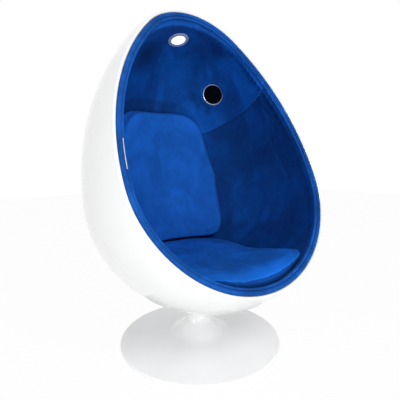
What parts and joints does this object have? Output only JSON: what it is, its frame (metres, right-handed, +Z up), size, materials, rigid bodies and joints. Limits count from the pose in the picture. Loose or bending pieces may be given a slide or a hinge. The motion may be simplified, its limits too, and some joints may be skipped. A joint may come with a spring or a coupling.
{
  "type": "pod chair",
  "caption": "Egg-shaped swivel lounge chair with a glossy shell on a round trumpet base, a velvet lining with two loose cushions, a pair of head-height speakers and a ceiling light.",
  "frame": {"origin": "centre of the base on the floor, on the swivel axis", "axes": "+Z up along the swivel axis; -Y is the front, out of the pod's mouth; +X is the sitter's left, on the right in a view from the front"},
  "size_m": [0.89, 0.786, 1.2605],
  "materials": {
    "gloss_shell": "polished gel coat",
    "base_paint": "gloss paint",
    "velvet": "short-pile velvet",
    "velvet_cushion": "short-pile velvet",
    "velvet_welt": "short-pile velvet over a soft core",
    "foam": "open-cell foam",
    "plywood": "bare birch plywood",
    "steel": "zinc plated",
    "black_steel": "matt black paint",
    "cast_alloy": "as cast",
    "bronze": "sintered bronze",
    "bright_trim": "polished",
    "grille_black": "satin black paint",
    "cone_paper": "matt",
    "black_plastic": "matt",
    "white_strip": "satin",
    "lead_jacket": "matt",
    "foot_rubber": "matt",
    "circuit_board": "satin",
    "lens_white": "frosted",
    "light_trim": "satin"
  },
  "bodies": {
    "base": {"base_cover": "base_paint", "foot_ring": "foot_rubber", "ballast_plate": "black_steel", "cover_lugs": "base_paint", "cover_screws": "steel", "column_tube": "steel", "column_gussets": "steel", "lower_bush": "bronze", "upper_bush": "bronze", "lower_race": "steel"},
    "cage": {"ball_cage": "bronze", "bearing_balls": "steel"},
    "pod": {"spindle": "steel", "thrust_washer": "bronze", "retaining_clip": "steel", "upper_race": "steel", "hub_casting": "cast_alloy", "neck_collar": "base_paint", "pod_bolts": "steel", "backing_pad": "cast_alloy", "pod_nuts": "steel", "shell": "gloss_shell", "foam_crown_left": "foam", "foam_crown_right": "foam", "foam_side_left": "foam", "foam_side_right": "foam", "lining_crown_left": "velvet", "lining_crown_right": "velvet", "lining_side_left": "velvet", "lining_side_right": "velvet", "outer_welt": "velvet_welt", "inner_welt": "velvet_welt", "edge_strip": "white_strip", "seat_board": "plywood", "board_blocks": "plywood", "board_screws": "steel", "amplifier_case": "black_plastic", "amplifier_lid": "black_steel", "amplifier_screws": "steel", "power_inlet": "black_plastic", "inlet_nut": "steel", "inlet_lead": "lead_jacket", "wiring_loom": "lead_jacket", "seat_cushion": "velvet_cushion", "back_cushion": "velvet_cushion", "speaker_ring_left": "bright_trim", "speaker_grille_left": "grille_black", "speaker_basket_left": "black_steel", "speaker_cone_left": "cone_paper", "speaker_magnet_left": "steel", "speaker_ring_right": "bright_trim", "speaker_grille_right": "grille_black", "speaker_basket_right": "black_steel", "speaker_cone_right": "cone_paper", "speaker_magnet_right": "steel", "light_can": "cast_alloy", "light_board": "circuit_board", "light_lens": "lens_white", "light_ring": "light_trim"}
  },
  "joints": [
    {"name": "swivel", "type": "hinge", "parent": "base", "child": "pod", "pos_m": [0, 0, 0.115], "axis": [0, 0, 1], "continuous": true},
    {"name": "cage_turn", "type": "hinge", "parent": "base", "child": "cage", "pos_m": [0, 0, 0.1125], "axis": [0, 0, 1], "continuous": true}
  ],
  "couplings": [
    {"joint": "cage_turn", "follows": "swivel", "ratio": 0.5}
  ]
}
